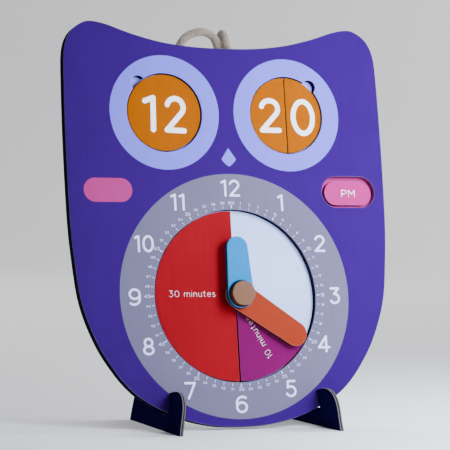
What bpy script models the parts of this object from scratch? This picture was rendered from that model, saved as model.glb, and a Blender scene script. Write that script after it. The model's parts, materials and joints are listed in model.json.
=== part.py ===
"""Learning clock of thick die-cut board, shaped like an owl, on two push-on feet.

The board is three plies. The front two have windows, and the rear one is the floor of the recesses.
Two hands turn on a dowel, two loose pieces lie in the dial under them, and the eyes and the pill
window hold loose tiles that lift out. A cotton loop hangs from two holes behind the top edge.

The board frame has X to the right, Y from the front face backwards and Z up along the board,
with its origin on the clock's axis in the front face. The whole frame leans back on its feet.
"""
import math

import bmesh
import bpy
from mathutils import Matrix, Vector
from mathutils.geometry import tessellate_polygon

# Board
BOARD_WIDTH = 0.2227
BOARD_HEIGHT = 0.2640
BOARD_BOTTOM_DROP = 0.0848
PLY_THICKNESS = 0.0024
GLUE_LINE = 0.00015
PAPER_RIM = 0.0005
LEAN_DEG = 10.5
FLOOR_CLEARANCE = 0.0005

# Windows and what they hold
DIAL_WINDOW_RADIUS = 0.0564
EYE_WINDOW_RADIUS = 0.0260
EYE_OFFSET = 0.0431
EYE_TOP_WALL = 0.0176
NOTCH_RADIUS = 0.0047
NOTCH_RISE_DEG = 48.0
PILL_WINDOW_WIDTH = 0.0384
PILL_WINDOW_HEIGHT = 0.0209
PILL_RISE = 0.0688
PILL_EDGE_WALL = 0.0073
TOKEN_WIDTH = 0.0340
TOKEN_HEIGHT = 0.0160
TOKEN_DROP = 0.0007
TILE_CLEARANCE = 0.0005
TILE_SINK = 0.0010
TILE_RIM = 0.0004
SEAT_GAP = 0.0003
SPLIT_GAP = 0.0005

# Hands and axle
PIN_RADIUS = 0.0030
KNOB_RADIUS = 0.0080
KNOB_THICKNESS = 0.0041
BUTTON_THICKNESS = 0.0030
KNOB_RIM = 0.0005
SOCKET_DEPTH = 0.0020
SPACER_WALL = 0.0014
SPACER_CLEARANCE = 0.0005
HAND_THICKNESS = 0.0040
HAND_LIFT = 0.0007
HAND_RIM = 0.0005
HOUR_HUB_RADIUS = 0.0090
HOUR_TIP_RADIUS = 0.0073
HOUR_REACH = 0.0303
HOUR_CLOCK_DEG = -2.0
MINUTE_HUB_RADIUS = 0.0092
MINUTE_TIP_RADIUS = 0.0080
MINUTE_REACH = 0.0463
MINUTE_CLOCK_DEG = 124.0
THIRTY_START_DEG = 180.0
TEN_START_DEG = 120.0
MINUTES_DEG = 6.0

# Feet
FOOT_OFFSET = 0.0530
FEET_SHIFT = 0.0025
FOOT_SPLAY_DEG = 8.0
FOOT_PLY = 0.0011
FOOT_FRONT_REACH = 0.0258
FOOT_FRONT_HEIGHT = 0.0268
FOOT_REAR_REACH = 0.0720
FOOT_REAR_HEIGHT = 0.0300
FOOT_TRIM = 0.0010

# Hanging loop
CORD_RADIUS = 0.0025
LOOP_HOLE_OFFSET = 0.0200
LOOP_HOLE_DROP = 0.0157
CORD_POINT_SPACING = 0.0052

# Facets on a full circle, and how meshes are finished
DIAL_FACETS = 96
EYE_FACETS = 60
SMALL_FACETS = 24
HOLE_FACETS = 16
SHARP_EDGE_DEG = 35.0
MERGE_DISTANCE = 0.00001

# Right half of the owl, from the bottom round the ear to the dip between the ears:
# shares of half the board's width and of its height
OWL_HALF_SHARES = [
    (0.0, 0.0), (0.158, 0.003), (0.323, 0.017), (0.474, 0.041), (0.611, 0.0727), (0.708, 0.109),
    (0.790, 0.1545), (0.855, 0.200), (0.916, 0.2606), (0.9555, 0.3212), (0.977, 0.397),
    (0.995, 0.503), (1.0, 0.685), (0.995, 0.8515), (0.984, 0.930), (0.941, 0.9727),
    (0.869, 0.9955), (0.8096, 1.0), (0.718, 0.9927), (0.575, 0.9727), (0.395, 0.954),
    (0.201, 0.944), (0.0, 0.9412),
]

# Side view of a foot: shares of the reach and of the height of its front fin, then of its rear fin
FOOT_FRONT_SHARES = [
    (-0.96, 0.0), (-0.96, 0.15), (-0.975, 0.32), (-0.995, 0.48), (-1.0, 0.62), (-0.965, 0.77),
    (-0.88, 0.89), (-0.74, 0.968), (-0.55, 1.0), (-0.33, 0.985), (-0.12, 0.945),
]
FOOT_REAR_SHARES = [
    (0.16, 0.98), (0.28, 1.0), (0.44, 0.995), (0.60, 0.955), (0.74, 0.875), (0.84, 0.76),
    (0.905, 0.62), (0.945, 0.45), (0.972, 0.25), (1.0, 0.0),
]

# Route of the hanging loop in the board frame: out of the left hole, over to the right, down
# behind the board, round the hanging bight and back over into the right hole
LOOP_ROUTE = [
    (-0.0200, 0.0032, 0.1480), (-0.0200, 0.0085, 0.1480), (-0.0207, 0.0140, 0.1500),
    (-0.0226, 0.0182, 0.1548), (-0.0242, 0.0200, 0.1612), (-0.0229, 0.0203, 0.1684),
    (-0.0185, 0.0204, 0.1746), (-0.0119, 0.0206, 0.1786), (-0.0042, 0.0210, 0.1798),
    (0.0028, 0.0222, 0.1770), (0.0066, 0.0243, 0.1700), (0.0080, 0.0272, 0.1600),
    (0.0075, 0.0301, 0.1480), (0.0066, 0.0328, 0.1350), (0.0061, 0.0352, 0.1235),
    (0.0068, 0.0374, 0.1145), (0.0103, 0.0392, 0.1070), (0.0180, 0.0406, 0.1036),
    (0.0257, 0.0420, 0.1067), (0.0294, 0.0430, 0.1145), (0.0291, 0.0436, 0.1240),
    (0.0262, 0.0438, 0.1360), (0.0224, 0.0437, 0.1480), (0.0190, 0.0432, 0.1600),
    (0.0166, 0.0422, 0.1704), (0.0148, 0.0394, 0.1779), (0.0130, 0.0316, 0.1814),
    (0.0114, 0.0237, 0.1781), (0.0112, 0.0203, 0.1706), (0.0132, 0.0193, 0.1630),
    (0.0167, 0.0182, 0.1557), (0.0191, 0.0142, 0.1502), (0.0200, 0.0085, 0.1480),
    (0.0200, 0.0032, 0.1480),
]


def clear_scene():
    for old in list(bpy.data.objects):
        bpy.data.objects.remove(old, do_unlink=True)


def painted(name, red, green, blue, roughness):
    """Matt finish from a display colour, each channel from 0 to 255."""
    finish = bpy.data.materials.new(name)
    finish.use_nodes = True
    shader = finish.node_tree.nodes["Principled BSDF"]
    linear = [((channel / 255 + 0.055) / 1.055) ** 2.4 for channel in (red, green, blue)]
    shader.inputs["Base Color"].default_value = (*linear, 1)
    shader.inputs["Roughness"].default_value = roughness
    shader.inputs["Metallic"].default_value = 0
    return finish


def finish_solid(name, bm, material):
    mesh = bpy.data.meshes.new(name)
    bmesh.ops.recalc_face_normals(bm, faces=bm.faces)
    bm.to_mesh(mesh)
    bm.free()
    mesh.materials.append(material)
    mesh.shade_smooth()
    mesh.set_sharp_from_angle(angle=math.radians(SHARP_EDGE_DEG))
    solid = bpy.data.objects.new(name, mesh)
    bpy.context.scene.collection.objects.link(solid)
    return solid


def smooth_curve(points, steps):
    """Points of a Catmull-Rom curve through the given ones, in two or three dimensions."""
    row = [Vector(point) for point in points[:1] + points + points[-1:]]
    curve = []
    for before, start, end, after in zip(row, row[1:], row[2:], row[3:]):
        for step in range(steps):
            t = step / steps
            curve.append(
                0.5 * (2 * start + (end - before) * t
                       + (2 * before - 5 * start + 4 * end - after) * t * t
                       + (3 * start - before - 3 * end + after) * t * t * t)
            )
    curve.append(row[-1])
    return [tuple(point) for point in curve]


def arc(centre_x, centre_z, radius, start_deg, end_deg, facets):
    """Points along an arc, both ends included, with `facets` for a whole turn."""
    steps = max(2, math.ceil(abs(end_deg - start_deg) / 360 * facets))
    points = []
    for step in range(steps + 1):
        angle = math.radians(start_deg + (end_deg - start_deg) * step / steps)
        points.append((centre_x + radius * math.cos(angle), centre_z + radius * math.sin(angle)))
    return points


def circle(centre_x, centre_z, radius, facets):
    return arc(centre_x, centre_z, radius, 0, 360, facets)[:-1]


def pill(centre_x, centre_z, width, height, facets):
    """A slot with half-round ends."""
    radius = height / 2
    reach = width / 2 - radius
    right = arc(centre_x + reach, centre_z, radius, -90, 90, facets)
    left = arc(centre_x - reach, centre_z, radius, 90, 270, facets)
    return right + left


def notched_window(centre_x, centre_z, radius, notch_radius, notch_deg):
    """A round window with a finger notch centred on its edge."""
    spread = math.degrees(2 * math.asin(notch_radius / (2 * radius)))
    window = arc(centre_x, centre_z, radius, notch_deg + spread, notch_deg + 360 - spread, EYE_FACETS)
    notch_x = centre_x + radius * math.cos(math.radians(notch_deg))
    notch_z = centre_z + radius * math.sin(math.radians(notch_deg))
    reach_deg = 90 + spread / 2
    notch = arc(notch_x, notch_z, notch_radius, notch_deg - reach_deg, notch_deg + reach_deg, SMALL_FACETS)
    return window + notch[1:-1]


def inset(loop, distance, hole):
    """The loop moved into the material by a distance; material lies outside a hole."""
    side = -1 if hole else 1
    count = len(loop)
    moved = []
    for index in range(count):
        before = Vector(loop[index - 1])
        here = Vector(loop[index])
        after = Vector(loop[(index + 1) % count])
        ahead = (after - here).normalized()
        behind = (here - before).normalized()
        normal = Vector((-ahead.y - behind.y, ahead.x + behind.x)).normalized()
        straight = max(0.5, normal.dot(Vector((-ahead.y, ahead.x))))
        moved.append(tuple(here + normal * (side * distance / straight)))
    return moved


def cut_board(name, outline, holes, front, thickness, material, front_rim=0, back_rim=0):
    """A die-cut piece, its outline and holes counterclockwise from the front.

    The rims are the small radii that the wrapped paper gives to a cut edge.
    """
    back = front + thickness
    levels = [(0, front), (0, back)]
    if front_rim:
        half = front_rim * (1 - math.sqrt(0.5))
        levels = [(front_rim, front), (half, front + half), (0, front + front_rim)] + levels[1:]
    if back_rim:
        half = back_rim * (1 - math.sqrt(0.5))
        levels = levels[:-1] + [(0, back - back_rim), (half, back - half), (back_rim, back)]
    bm = bmesh.new()
    rings = []
    for distance, depth in levels:
        loops = [inset(outline, distance, False)] + [inset(hole, distance, True) for hole in holes]
        rings.append([[bm.verts.new((x, depth, z)) for x, z in loop] for loop in loops])
    for upper, lower in zip(rings, rings[1:]):
        for near, far in zip(upper, lower):
            for index in range(len(near)):
                bm.faces.new((near[index - 1], near[index], far[index], far[index - 1]))
    for level in (rings[0], rings[-1]):
        corners = [corner for loop in level for corner in loop]
        flat = [[Vector((corner.co.x, corner.co.z, 0)) for corner in loop] for loop in level]
        for triangle in tessellate_polygon(flat):
            bm.faces.new([corners[corner] for corner in triangle])
    return finish_solid(name, bm, material)


def turned(name, profile, facets, material):
    """A round piece on the Y axis from its profile of (radius, depth), ends on the axis."""
    bm = bmesh.new()
    points = [bm.verts.new((radius, depth, 0)) for radius, depth in profile]
    edges = [bm.edges.new(pair) for pair in zip(points, points[1:])]
    bmesh.ops.spin(bm, geom=points + edges, cent=(0, 0, 0), axis=(0, 1, 0), angle=2 * math.pi,
                   steps=facets, use_merge=True)
    bmesh.ops.remove_doubles(bm, verts=bm.verts, dist=MERGE_DISTANCE)
    return finish_solid(name, bm, material)


def half_width_and_rise():
    """The right half of the outline in board sizes, as one smooth curve."""
    shares = smooth_curve(OWL_HALF_SHARES, 3)
    return [(x * BOARD_WIDTH / 2, z * BOARD_HEIGHT - BOARD_BOTTOM_DROP) for x, z in shares]


def owl_outline():
    right = half_width_and_rise()
    left = [(-x, z) for x, z in reversed(right[1:-1])]
    return right + left


def lower_edge(x):
    """How high the board's lower edge is at a distance from the middle."""
    right = half_width_and_rise()
    for (near_x, near_z), (far_x, far_z) in zip(right, right[1:]):
        if near_x <= abs(x) <= far_x:
            return near_z + (far_z - near_z) * (abs(x) - near_x) / (far_x - near_x)
    return right[0][1]


def sector(start_clock_deg, minutes, outer_radius, inner_radius):
    """A slice of the dial as the pieces have it: straight sides, a notch for the spacer."""
    start = 90 - start_clock_deg
    end = start - minutes * MINUTES_DEG
    outer_trim = math.degrees(math.asin(SPLIT_GAP / 2 / outer_radius))
    inner_trim = math.degrees(math.asin(SPLIT_GAP / 2 / inner_radius))
    rim = arc(0, 0, outer_radius, end + outer_trim, start - outer_trim, DIAL_FACETS)
    notch = arc(0, 0, inner_radius, start - inner_trim, end + inner_trim, SMALL_FACETS)
    return rim + notch


def tapered_hand(hub_radius, tip_radius, reach):
    """Round hub and round tip joined by the lines that touch both."""
    lean = math.degrees(math.asin((hub_radius - tip_radius) / reach))
    tip = arc(0, reach, tip_radius, lean, 180 - lean, SMALL_FACETS)
    hub = arc(0, 0, hub_radius, 180 - lean, 360 + lean, SMALL_FACETS)
    return tip + hub


def half_disc(centre_x, centre_z, radius, side):
    """Half of a split eye disc, to the left (-1) or right (1) of the split."""
    trim = math.degrees(math.asin(SPLIT_GAP / 2 / radius))
    middle = 0 if side > 0 else 180
    return arc(centre_x, centre_z, radius, middle - 90 + trim, middle + 90 - trim, EYE_FACETS)


def turned_by_clock(piece, clock_deg):
    """Turns a piece made pointing at 12 to another place on the dial."""
    piece.rotation_euler = (0, math.radians(clock_deg), 0)


def moved_to(piece, x, y, z):
    """Puts an object's origin at a place in the board frame without moving its shape."""
    piece.data.transform(Matrix.Translation((-x, -y, -z)))
    piece.location = (x, y, z)


# Sizes that follow from the ones above
board_thickness = 3 * PLY_THICKNESS + 2 * GLUE_LINE
recess_depth = 2 * (PLY_THICKNESS + GLUE_LINE)
tile_thickness = recess_depth - SEAT_GAP - TILE_SINK
top_dip = OWL_HALF_SHARES[-1][1] * BOARD_HEIGHT - BOARD_BOTTOM_DROP
eye_rise = top_dip - EYE_TOP_WALL - EYE_WINDOW_RADIUS
eye_disc_radius = EYE_WINDOW_RADIUS - TILE_CLEARANCE
pill_offset = BOARD_WIDTH / 2 - PILL_EDGE_WALL - PILL_WINDOW_WIDTH / 2
loop_hole_rise = top_dip - LOOP_HOLE_DROP
minute_hand_back = -HAND_LIFT
hour_hand_back = minute_hand_back - HAND_THICKNESS - SEAT_GAP
knob_back = hour_hand_back - HAND_THICKNESS - SEAT_GAP
knob_front = knob_back - KNOB_THICKNESS
button_front = board_thickness + SEAT_GAP
spacer_bore = PIN_RADIUS + SEAT_GAP
spacer_radius = spacer_bore + SPACER_WALL
lean = math.radians(LEAN_DEG)
floor_drop = BOARD_BOTTOM_DROP + FLOOR_CLEARANCE / math.cos(lean) + board_thickness * math.tan(lean)


def make_finishes():
    return {
        "purple_paper": painted("purple_paper", 78, 64, 164, 0.55),
        "window_paper": painted("window_paper", 208, 217, 236, 0.6),
        "navy_paper": painted("navy_paper", 22, 18, 66, 0.6),
        "red_board": painted("red_board", 192, 42, 47, 0.5),
        "magenta_board": painted("magenta_board", 160, 52, 138, 0.5),
        "orange_board": painted("orange_board", 222, 133, 28, 0.5),
        "pink_board": painted("pink_board", 216, 128, 182, 0.5),
        "blue_board": painted("blue_board", 115, 184, 226, 0.55),
        "coral_board": painted("coral_board", 203, 100, 72, 0.55),
        "beech": painted("beech", 176, 136, 110, 0.6),
        "cotton_cord": painted("cotton_cord", 214, 200, 182, 0.9),
    }


def make_plies(finishes):
    """Three plies: the front two with windows, the rear one solid but for small holes."""
    outline = owl_outline()
    windows = [
        circle(0, 0, DIAL_WINDOW_RADIUS, DIAL_FACETS),
        notched_window(-EYE_OFFSET, eye_rise, EYE_WINDOW_RADIUS, NOTCH_RADIUS, 180 - NOTCH_RISE_DEG),
        notched_window(EYE_OFFSET, eye_rise, EYE_WINDOW_RADIUS, NOTCH_RADIUS, NOTCH_RISE_DEG),
        pill(pill_offset, PILL_RISE, PILL_WINDOW_WIDTH, PILL_WINDOW_HEIGHT, SMALL_FACETS),
    ]
    hole_radius = CORD_RADIUS + SEAT_GAP
    cord_holes = [
        circle(side * LOOP_HOLE_OFFSET, loop_hole_rise, hole_radius, HOLE_FACETS) for side in (-1, 1)
    ]
    pin_hole = circle(0, 0, spacer_bore, SMALL_FACETS)
    step = PLY_THICKNESS + GLUE_LINE
    purple = finishes["purple_paper"]
    navy = finishes["navy_paper"]
    return [
        cut_board("front_ply", outline, windows, 0, PLY_THICKNESS, purple, front_rim=PAPER_RIM),
        cut_board("middle_ply", outline, windows + cord_holes, step, PLY_THICKNESS, navy),
        cut_board("back_ply", outline, [pin_hole] + cord_holes, 2 * step, PLY_THICKNESS, navy,
                  back_rim=PAPER_RIM),
    ]


def make_axle(finishes):
    """A dowel between two turned ends, with a ring that carries the hands above the pieces."""
    beech = finishes["beech"]
    socket_radius = PIN_RADIUS + SEAT_GAP
    knob = turned("front_knob", [
        (0, knob_front), (KNOB_RADIUS - KNOB_RIM, knob_front), (KNOB_RADIUS, knob_front + KNOB_RIM),
        (KNOB_RADIUS, knob_back), (socket_radius, knob_back),
        (socket_radius, knob_back - SOCKET_DEPTH), (0, knob_back - SOCKET_DEPTH),
    ], 2 * SMALL_FACETS, beech)
    button_back = button_front + BUTTON_THICKNESS
    button = turned("rear_button", [
        (0, button_back), (KNOB_RADIUS - KNOB_RIM, button_back), (KNOB_RADIUS, button_back - KNOB_RIM),
        (KNOB_RADIUS, button_front), (socket_radius, button_front),
        (socket_radius, button_front + SOCKET_DEPTH), (0, button_front + SOCKET_DEPTH),
    ], 2 * SMALL_FACETS, beech)
    pin_front = knob_back - SOCKET_DEPTH + SEAT_GAP
    pin_back = button_front + SOCKET_DEPTH - SEAT_GAP
    pin = turned("axle_pin", [
        (0, pin_front), (PIN_RADIUS - KNOB_RIM, pin_front), (PIN_RADIUS, pin_front + KNOB_RIM),
        (PIN_RADIUS, pin_back - KNOB_RIM), (PIN_RADIUS - KNOB_RIM, pin_back), (0, pin_back),
    ], SMALL_FACETS, beech)
    spacer_front = minute_hand_back + SEAT_GAP
    spacer = cut_board(
        "hub_spacer", circle(0, 0, spacer_radius, SMALL_FACETS), [circle(0, 0, spacer_bore, SMALL_FACETS)],
        spacer_front, recess_depth - SEAT_GAP - spacer_front, finishes["beech"],
    )
    return [knob, button, pin, spacer]


def make_hands(finishes):
    bore = circle(0, 0, PIN_RADIUS + SEAT_GAP, SMALL_FACETS)
    hour = cut_board(
        "hour_hand", tapered_hand(HOUR_HUB_RADIUS, HOUR_TIP_RADIUS, HOUR_REACH), [bore],
        hour_hand_back - HAND_THICKNESS, HAND_THICKNESS, finishes["blue_board"],
        front_rim=HAND_RIM, back_rim=HAND_RIM,
    )
    minute = cut_board(
        "minute_hand", tapered_hand(MINUTE_HUB_RADIUS, MINUTE_TIP_RADIUS, MINUTE_REACH), [bore],
        minute_hand_back - HAND_THICKNESS, HAND_THICKNESS, finishes["coral_board"],
        front_rim=HAND_RIM, back_rim=HAND_RIM,
    )
    turned_by_clock(hour, HOUR_CLOCK_DEG)
    turned_by_clock(minute, MINUTE_CLOCK_DEG)
    return [hour, minute]


def make_dial_pieces(finishes):
    """The half-hour and ten-minute slices, which slide round the spacer in the dial."""
    outer = DIAL_WINDOW_RADIUS - TILE_CLEARANCE
    inner = spacer_radius + SPACER_CLEARANCE
    slices = []
    for name, start, minutes, finish in (
        ("thirty_minute_piece", THIRTY_START_DEG, 30, "red_board"),
        ("ten_minute_piece", TEN_START_DEG, 10, "magenta_board"),
    ):
        slices.append(cut_board(
            name, sector(start, minutes, outer, inner), [], TILE_SINK, tile_thickness,
            finishes[finish], front_rim=TILE_RIM, back_rim=TILE_RIM,
        ))
    return slices


def make_tiles(finishes):
    """Loose tiles: a whole disc and a split one for the eyes, and a pill-shaped one."""
    token_rise = PILL_RISE - TOKEN_DROP
    disc = circle(-EYE_OFFSET, eye_rise, eye_disc_radius, EYE_FACETS)
    tens = half_disc(EYE_OFFSET, eye_rise, eye_disc_radius, -1)
    units = half_disc(EYE_OFFSET, eye_rise, eye_disc_radius, 1)
    token = pill(pill_offset, token_rise, TOKEN_WIDTH, TOKEN_HEIGHT, SMALL_FACETS)
    tiles = []
    for name, outline, finish, x, z in (
        ("hour_disc", disc, "orange_board", -EYE_OFFSET, eye_rise),
        ("minute_tens_half", tens, "orange_board", EYE_OFFSET, eye_rise),
        ("minute_units_half", units, "orange_board", EYE_OFFSET, eye_rise),
        ("pm_token", token, "pink_board", pill_offset, token_rise),
    ):
        tile = cut_board(name, outline, [], TILE_SINK, tile_thickness, finishes[finish],
                         front_rim=TILE_RIM, back_rim=TILE_RIM)
        moved_to(tile, x, TILE_SINK, z)
        tiles.append(tile)
    return tiles


def foot_profile(slot_height):
    """Side view of a foot as (depth, height above the slot), counterclockwise from outside."""
    def above_floor(depth, rise):
        floor = depth * math.tan(lean) - floor_drop - slot_height
        return floor / math.cos(math.radians(FOOT_SPLAY_DEG)) + rise

    def fin(shares, reach, height):
        return smooth_curve([(x * reach, above_floor(x * reach, z * height)) for x, z in shares], 3)

    front_curve = fin(FOOT_FRONT_SHARES, FOOT_FRONT_REACH, FOOT_FRONT_HEIGHT)
    rear_curve = fin(FOOT_REAR_SHARES, FOOT_REAR_REACH, FOOT_REAR_HEIGHT)
    slot_front = -SEAT_GAP
    slot_back = board_thickness + SEAT_GAP
    slot = [
        (slot_front, front_curve[-1][1]), (slot_front, 0),
        (slot_back, 0), (slot_back, rear_curve[0][1]),
    ]
    heel = (rear_curve[-1][0], rear_curve[-1][1] - FOOT_TRIM)
    toe = (front_curve[0][0], front_curve[0][1] - FOOT_TRIM)
    clockwise = front_curve + slot + rear_curve + [heel, toe]
    return list(reversed(clockwise))


def make_foot(side, side_name, frame, finishes):
    """Two glued plies with a slot that takes the board, trimmed where they stand."""
    place = side * FOOT_OFFSET + FEET_SHIFT
    slot_height = lower_edge(abs(place) - FOOT_PLY - GLUE_LINE) - SEAT_GAP
    navy = finishes["navy_paper"]
    profile = foot_profile(slot_height)
    plies = []
    for name, sign in (("inner", -1), ("outer", 1)):
        across = sign * side * (FOOT_PLY + GLUE_LINE) / 2 - FOOT_PLY / 2
        ply = cut_board(f"{side_name}_foot_{name}_ply", profile, [], across, FOOT_PLY, navy)
        upright = Matrix(((0, 1, 0), (1, 0, 0), (0, 0, 1))).to_4x4()
        splay = Matrix.Rotation(math.radians(-side * FOOT_SPLAY_DEG), 4, "Y")
        ply.data.transform(upright)
        ply.data.flip_normals()
        ply.parent = frame
        ply.matrix_basis = Matrix.Translation((place, 0, slot_height)) @ splay
        trim_on_floor(ply, frame)
        plies.append(ply)
    return plies


def trim_on_floor(piece, frame):
    """Cuts a piece flat where it stands on the floor, which is at height zero."""
    placed = frame.matrix_basis @ piece.matrix_basis
    bm = bmesh.new()
    bm.from_mesh(piece.data)
    bmesh.ops.transform(bm, matrix=placed, verts=bm.verts)
    whole = bm.verts[:] + bm.edges[:] + bm.faces[:]
    bmesh.ops.bisect_plane(bm, geom=whole, plane_co=(0, 0, 0), plane_no=(0, 0, -1), clear_outer=True)
    open_edges = [edge for edge in bm.edges if edge.is_boundary]
    bmesh.ops.holes_fill(bm, edges=open_edges)
    bmesh.ops.transform(bm, matrix=placed.inverted(), verts=bm.verts)
    bmesh.ops.recalc_face_normals(bm, faces=bm.faces)
    bm.to_mesh(piece.data)
    bm.free()


def even_points(route, spacing):
    """Evenly spaced points along the smooth curve through a route's own points."""
    fine = [Vector(point) for point in smooth_curve(route, 24)]
    lengths = [0.0]
    for near, far in zip(fine, fine[1:]):
        lengths.append(lengths[-1] + (far - near).length)
    count = round(lengths[-1] / spacing)
    points = []
    place = 0
    for step in range(count + 1):
        target = lengths[-1] * step / count
        while place < len(fine) - 2 and lengths[place + 1] < target:
            place += 1
        share = (target - lengths[place]) / (lengths[place + 1] - lengths[place])
        points.append(fine[place].lerp(fine[place + 1], min(1, share)))
    return points


def make_loop(finishes):
    curve = bpy.data.curves.new("hanging_loop", "CURVE")
    curve.dimensions = "3D"
    curve.bevel_depth = CORD_RADIUS
    curve.bevel_resolution = 3
    curve.use_fill_caps = True
    curve.resolution_u = 1
    points = even_points(LOOP_ROUTE, CORD_POINT_SPACING)
    spline = curve.splines.new("POLY")
    spline.points.add(len(points) - 1)
    for target, point in zip(spline.points, points):
        target.co = (*point, 1)
    curve.materials.append(finishes["cotton_cord"])
    loop = bpy.data.objects.new("hanging_loop", curve)
    bpy.context.scene.collection.objects.link(loop)
    return loop


def centre_on_footprint(frame, solids):
    """Slides the whole clock along Y until its origin is under the middle of its depth."""
    bpy.context.view_layer.update()
    depths = [(solid.matrix_world @ vertex.co).y for solid in solids for vertex in solid.data.vertices]
    frame.location.y -= (min(depths) + max(depths)) / 2


def build():
    clear_scene()
    finishes = make_finishes()
    frame = bpy.data.objects.new("board_frame", None)
    bpy.context.scene.collection.objects.link(frame)
    frame.location = (0, 0, floor_drop * math.cos(lean))
    frame.rotation_euler = (-lean, 0, 0)
    bpy.context.view_layer.update()
    solids = make_plies(finishes) + make_axle(finishes) + make_hands(finishes)
    solids += make_dial_pieces(finishes) + make_tiles(finishes)
    for solid in solids:
        solid.parent = frame
    solids += make_foot(-1, "left", frame, finishes) + make_foot(1, "right", frame, finishes)
    make_loop(finishes).parent = frame
    centre_on_footprint(frame, solids)


build()
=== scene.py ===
"""Owl-shaped learning clock of thick die-cut board: its print, papers, wood and cord.

Places on the clock are given in the board's own frame, in metres: across to the right, depth from
the front face backwards and rise up along the board, from the axis that the hands turn on.
"""

import json
import math

import bmesh
import bpy
from mathutils import Matrix, Vector
from mathutils.geometry import delaunay_2d_cdt, tessellate_polygon

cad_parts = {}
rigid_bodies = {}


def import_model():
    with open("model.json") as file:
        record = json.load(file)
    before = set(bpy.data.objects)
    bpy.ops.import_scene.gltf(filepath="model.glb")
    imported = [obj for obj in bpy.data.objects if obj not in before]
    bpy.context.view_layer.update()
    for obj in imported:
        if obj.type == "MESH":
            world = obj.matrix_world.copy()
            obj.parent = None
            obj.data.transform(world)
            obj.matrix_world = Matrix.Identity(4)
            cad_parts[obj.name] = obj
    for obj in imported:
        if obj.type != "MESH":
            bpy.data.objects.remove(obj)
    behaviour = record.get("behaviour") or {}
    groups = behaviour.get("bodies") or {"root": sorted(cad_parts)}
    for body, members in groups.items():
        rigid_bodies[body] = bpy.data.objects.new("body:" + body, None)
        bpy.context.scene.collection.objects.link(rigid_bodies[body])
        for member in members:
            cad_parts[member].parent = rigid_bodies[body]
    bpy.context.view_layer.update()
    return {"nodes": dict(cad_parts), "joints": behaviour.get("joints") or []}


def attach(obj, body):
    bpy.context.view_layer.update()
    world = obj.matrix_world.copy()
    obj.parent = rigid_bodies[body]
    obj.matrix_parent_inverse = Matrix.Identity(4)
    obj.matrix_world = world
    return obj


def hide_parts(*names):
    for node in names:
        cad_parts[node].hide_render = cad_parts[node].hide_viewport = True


for leftover in list(bpy.data.objects):
    bpy.data.objects.remove(leftover, do_unlink=True)
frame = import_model()

hands_turn = next(joint for joint in frame["joints"] if joint["name"] == "hour_hand_turn")
into_board = Vector(hands_turn["axis"])
up_board = Vector((0, -into_board.z, into_board.y))
board_axes = Matrix((Vector((1, 0, 0)), into_board, up_board)).transposed().to_4x4()
board = Matrix.Translation(hands_turn["pos_m"]) @ board_axes


# The view: a long lens a little to the clock's left and just above the middle of its height.
# It is the same view that the sizes were read from.
def in_scene(name, data):
    """Makes an object of a mesh, a curve, a lamp or a camera and puts it into the scene."""
    made = bpy.data.objects.new(name, data)
    bpy.context.scene.collection.objects.link(made)
    return made


view = bpy.data.cameras.new("long_lens")
view.sensor_width = 36
view.lens = 182.2
camera = in_scene("camera", view)
camera.location = (-0.56616, -1.36890, 0.16714)
camera.rotation_euler = [math.radians(turn) for turn in (88.59, -0.81, -22.26)]
bpy.context.scene.camera = camera


# Studio: a pale matt floor that sweeps up into a wall all round. A soft lamp close in front is
# turned to the right, a second skims the clock from its right side and picks out the rims, a weak
# one fills in from the left, and two behind light floor and wall.
class Value:
    """A socket of a material's or a shape's nodes. Sums on it add Math nodes."""

    def __init__(self, tree, socket=None):
        self.tree = tree
        self.socket = socket

    def node(self, kind, settings=None, values=None, out=0):
        """Adds a node: its settings first, then the values or links of its sockets."""
        made = self.tree.nodes.new(kind)
        for name, setting in (settings or {}).items():
            setattr(made, name, setting)
        for key, value in (values or {}).items():
            if isinstance(value, Value):
                self.tree.links.new(value.socket, made.inputs[key])
            else:
                made.inputs[key].default_value = value
        return Value(self.tree, made.outputs[out])

    def math(self, operation, *values, clamp=False):
        """Adds a Math node on these values."""
        settings = {"operation": operation, "use_clamp": clamp}
        return self.node("ShaderNodeMath", settings, dict(enumerate(values)))

    def __add__(self, other):
        return self.math("ADD", self, other)

    def __sub__(self, other):
        return self.math("SUBTRACT", self, other)

    def __rsub__(self, other):
        return self.math("SUBTRACT", other, self)

    def __mul__(self, other):
        return self.math("MULTIPLY", self, other)

    def __truediv__(self, other):
        return self.math("DIVIDE", self, other)

    def __pow__(self, other):
        return self.math("POWER", self, other)

    __radd__ = __add__
    __rmul__ = __mul__

    def size(self):
        """The number without its sign."""
        return self.math("ABSOLUTE", self)

    def clamped(self):
        """The number held between 0 and 1."""
        return self.math("ADD", self, 0, clamp=True)

    def distance(self, other):
        """How far a place is that lies this far across and the other far up."""
        return (self * self + other * other) ** 0.5

    def between(self, low, high):
        """0 below low, 1 above high and even in between."""
        return ((self - low) / (high - low)).clamped()

    def mix(self, low, high):
        """The colour low where this is 0 and high where it is 1."""
        settings = {"data_type": "RGBA"}
        return self.node("ShaderNodeMix", settings, {0: self, 6: low, 7: high}, out=2)

    def parts(self):
        """The three numbers of a place."""
        split = self.node("ShaderNodeSeparateXYZ", values={0: self})
        return [Value(self.tree, socket) for socket in split.socket.node.outputs]

    def stretched(self, across, depth, rise):
        """A place with each direction made longer by its own share."""
        settings = {"operation": "MULTIPLY"}
        return self.node("ShaderNodeVectorMath", settings, {0: self, 1: (across, depth, rise)})

    def vector_by(self, length):
        """A direction made as long as a number."""
        return self.node("ShaderNodeVectorMath", {"operation": "SCALE"}, {0: self, "Scale": length})

    def noise(self, scale, detail=2.0, roughness=0.5):
        """Soft random patches, the scale of them to a metre."""
        values = {"Vector": self, "Scale": scale, "Detail": detail, "Roughness": roughness}
        return self.node("ShaderNodeTexNoise", values=values)

    def bump(self, strength, distance):
        """A normal from this as a height."""
        values = {"Height": self, "Strength": strength, "Distance": distance}
        return self.node("ShaderNodeBump", values=values)


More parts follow.
